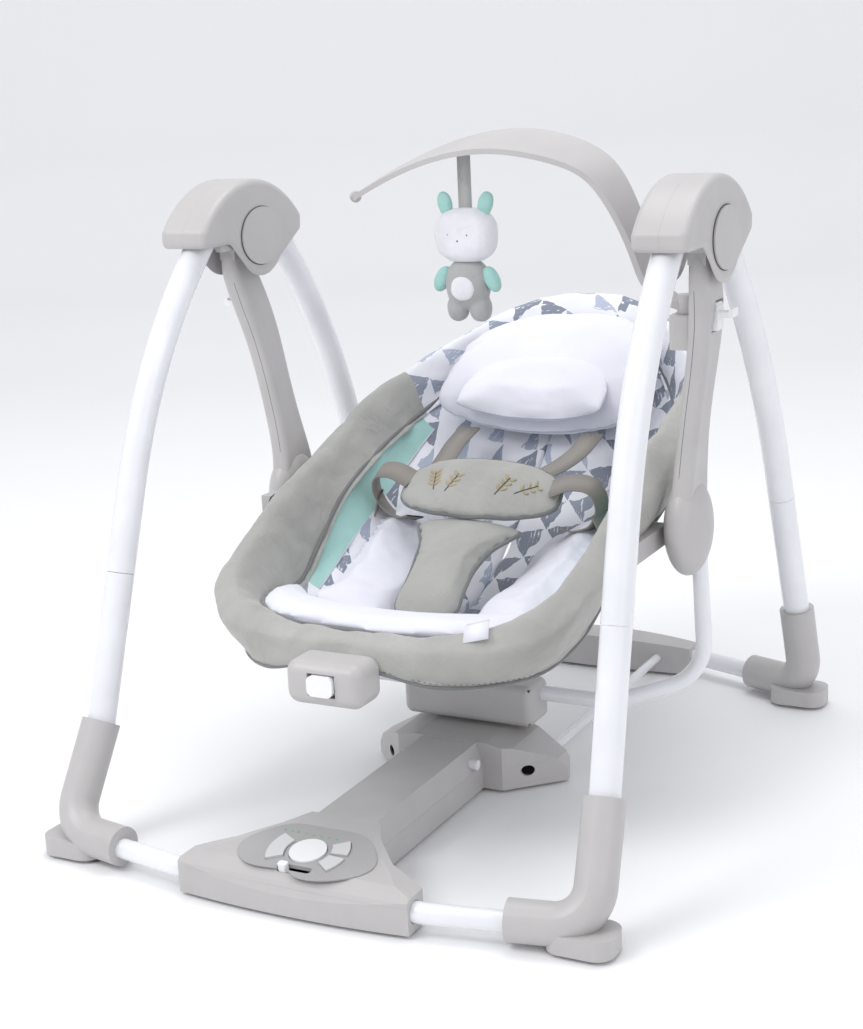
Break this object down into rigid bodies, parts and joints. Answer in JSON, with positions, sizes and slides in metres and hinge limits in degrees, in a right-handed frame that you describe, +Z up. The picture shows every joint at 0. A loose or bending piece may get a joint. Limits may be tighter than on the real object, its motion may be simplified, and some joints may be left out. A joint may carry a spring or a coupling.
{
  "type": "baby swing",
  "caption": "Compact folding baby swing: a reclined padded seat hung from two hubs on a four-legged tube stand, with a floor-level drive base, harness and toy bar.",
  "frame": {"origin": "on the floor, under the middle of the stand", "axes": "+Z up; the child faces -Y; +X is the right side seen from the front"},
  "size_m": [0.577, 0.744, 0.6453],
  "materials": {
    "grey_plastic": "satin",
    "panel_plastic": "satin",
    "white_plastic": "gloss",
    "white_tube": "gloss powder coat",
    "steel": "plain",
    "rubber_pad": "matte",
    "lamp": "clear",
    "board": "satin",
    "copper": "wound wire",
    "magnet": "plain",
    "cell": "gloss",
    "motor": "plain",
    "grey_velour": "short pile",
    "printed_fabric": "printed knit",
    "white_fleece": "soft knit",
    "webbing": "ribbed webbing",
    "ribbon": "satin",
    "plush": "plush"
  },
  "bodies": {
    "base": {"base_upper_shell": "grey_plastic", "base_lower_shell": "grey_plastic", "panel_plate": "panel_plastic", "status_lights": "lamp", "circuit_board": "board", "drive_coil": "copper", "battery_cells": "cell"},
    "power_key": {"power_button": "white_plastic"},
    "timer_key": {"timer_button": "panel_plastic"},
    "volume_key": {"volume_button": "panel_plastic"},
    "music_key": {"music_button": "panel_plastic"},
    "mode_knob": {"mode_slider": "white_plastic"},
    "peg_right": {"release_peg_right": "white_plastic"},
    "peg_left": {"release_peg_left": "white_plastic"},
    "front_frame": {"front_bar": "white_tube", "front_feet": "grey_plastic", "front_pads": "rubber_pad", "front_lower_tubes": "white_tube", "front_upper_tubes": "white_tube", "front_knuckles": "grey_plastic"},
    "rear_frame": {"rear_bar": "white_tube", "rear_feet": "grey_plastic", "rear_pads": "rubber_pad", "rear_lower_tubes": "white_tube", "rear_upper_tubes": "white_tube", "rear_knuckles": "grey_plastic"},
    "rear_brace": {"rear_housing": "grey_plastic", "guide_rods": "white_tube"},
    "hubs": {"hub_outer_shells": "grey_plastic", "hub_inner_shells": "grey_plastic", "hub_outer_caps": "grey_plastic", "hub_inner_caps": "grey_plastic", "hub_axles": "steel"},
    "swing": {"swing_arms": "grey_plastic", "pod_covers": "grey_plastic", "swing_tube": "white_tube", "magnet_case": "grey_plastic", "drive_magnets": "magnet", "toy_bar_socket": "grey_plastic"},
    "lever_right": {"arm_lever_right": "white_plastic"},
    "lever_left": {"arm_lever_left": "white_plastic"},
    "seat": {"seat_hoop": "white_tube", "seat_clamps": "grey_plastic", "seat_rim": "grey_velour", "seat_bucket": "printed_fabric", "head_support": "white_fleece", "head_cushion": "white_fleece", "waist_pad": "grey_velour", "crotch_pad": "grey_velour", "waist_straps": "webbing", "foot_pad": "white_fleece", "vibration_case": "grey_plastic", "vibration_motor": "motor"},
    "vibration_key": {"vibration_button": "white_plastic"},
    "toy_arm": {"toy_bar": "grey_plastic"},
    "toy": {"toy_ribbon": "ribbon", "plush_toy": "plush"}
  },
  "joints": [
    {"name": "stand_fold", "type": "hinge", "parent": "base", "child": "front_frame", "pos_m": [0, -0.352, 0.02], "axis": [1, 0, 0], "range_deg": [0, 14]},
    {"name": "hub_level", "type": "hinge", "parent": "front_frame", "child": "hubs", "pos_m": [0, 0, 0.5475], "axis": [1, 0, 0], "range_deg": [-14, 0]},
    {"name": "rear_leg_fold", "type": "hinge", "parent": "front_frame", "child": "rear_frame", "pos_m": [0, 0, 0.5475], "axis": [1, 0, 0], "range_deg": [-28, 0]},
    {"name": "rear_brace_level", "type": "hinge", "parent": "rear_frame", "child": "rear_brace", "pos_m": [0, 0.352, 0.02], "axis": [1, 0, 0], "range_deg": [0, 14]},
    {"name": "swing_motion", "type": "hinge", "parent": "hubs", "child": "swing", "pos_m": [0, 0, 0.5475], "axis": [1, 0, 0], "range_deg": [-10, 10]},
    {"name": "seat_recline", "type": "hinge", "parent": "swing", "child": "seat", "pos_m": [0, 0.04, 0.256], "axis": [1, 0, 0], "range_deg": [0, 12]},
    {"name": "lever_right_turn", "type": "hinge", "parent": "swing", "child": "lever_right", "pos_m": [0.2592, 0.021, 0.484], "axis": [0, -1, 0], "range_deg": [0, 12], "stiffness_Nm_per_rad": 0.3, "springref_deg": -5.73},
    {"name": "lever_left_turn", "type": "hinge", "parent": "swing", "child": "lever_left", "pos_m": [-0.2592, 0.021, 0.484], "axis": [0, 1, 0], "range_deg": [0, 12], "stiffness_Nm_per_rad": 0.3, "springref_deg": -5.73},
    {"name": "power_press", "type": "slide", "parent": "base", "child": "power_key", "axis": [0, 0.1908, -0.9816], "range_m": [0, 0.0012], "stiffness_N_per_m": 400, "springref_m": -0.002},
    {"name": "timer_press", "type": "slide", "parent": "base", "child": "timer_key", "axis": [0, 0.1908, -0.9816], "range_m": [0, 0.0012], "stiffness_N_per_m": 400, "springref_m": -0.002},
    {"name": "volume_press", "type": "slide", "parent": "base", "child": "volume_key", "axis": [0, 0.1908, -0.9816], "range_m": [0, 0.0012], "stiffness_N_per_m": 400, "springref_m": -0.002},
    {"name": "music_press", "type": "slide", "parent": "base", "child": "music_key", "axis": [0, 0.1908, -0.9816], "range_m": [0, 0.0012], "stiffness_N_per_m": 400, "springref_m": -0.002},
    {"name": "mode_slide", "type": "slide", "parent": "base", "child": "mode_knob", "axis": [1, 0, 0], "range_m": [0, 0.022]},
    {"name": "peg_right_press", "type": "slide", "parent": "base", "child": "peg_right", "axis": [-1, 0, 0], "range_m": [0, 0.004], "stiffness_N_per_m": 400, "springref_m": -0.002},
    {"name": "peg_left_press", "type": "slide", "parent": "base", "child": "peg_left", "axis": [1, 0, 0], "range_m": [0, 0.004], "stiffness_N_per_m": 400, "springref_m": -0.002},
    {"name": "vibration_press", "type": "slide", "parent": "seat", "child": "vibration_key", "axis": [0, 1, 0], "range_m": [0, 0.0012], "stiffness_N_per_m": 400, "springref_m": -0.002},
    {"name": "toy_bar_swivel", "type": "hinge", "parent": "swing", "child": "toy_arm", "pos_m": [0.225, 0.038, 0.47], "axis": [0, 0, -1], "range_deg": [0, 35]},
    {"name": "toy_hang", "type": "hinge", "parent": "toy_arm", "child": "toy", "pos_m": [-0.003, 0.038, 0.622], "axis": [0, 1, 0], "range_deg": [-25, 25]}
  ],
  "couplings": [
    {"joint": "hub_level", "follows": "stand_fold", "ratio": -1},
    {"joint": "rear_leg_fold", "follows": "stand_fold", "ratio": -2},
    {"joint": "rear_brace_level", "follows": "stand_fold", "ratio": 1}
  ]
}
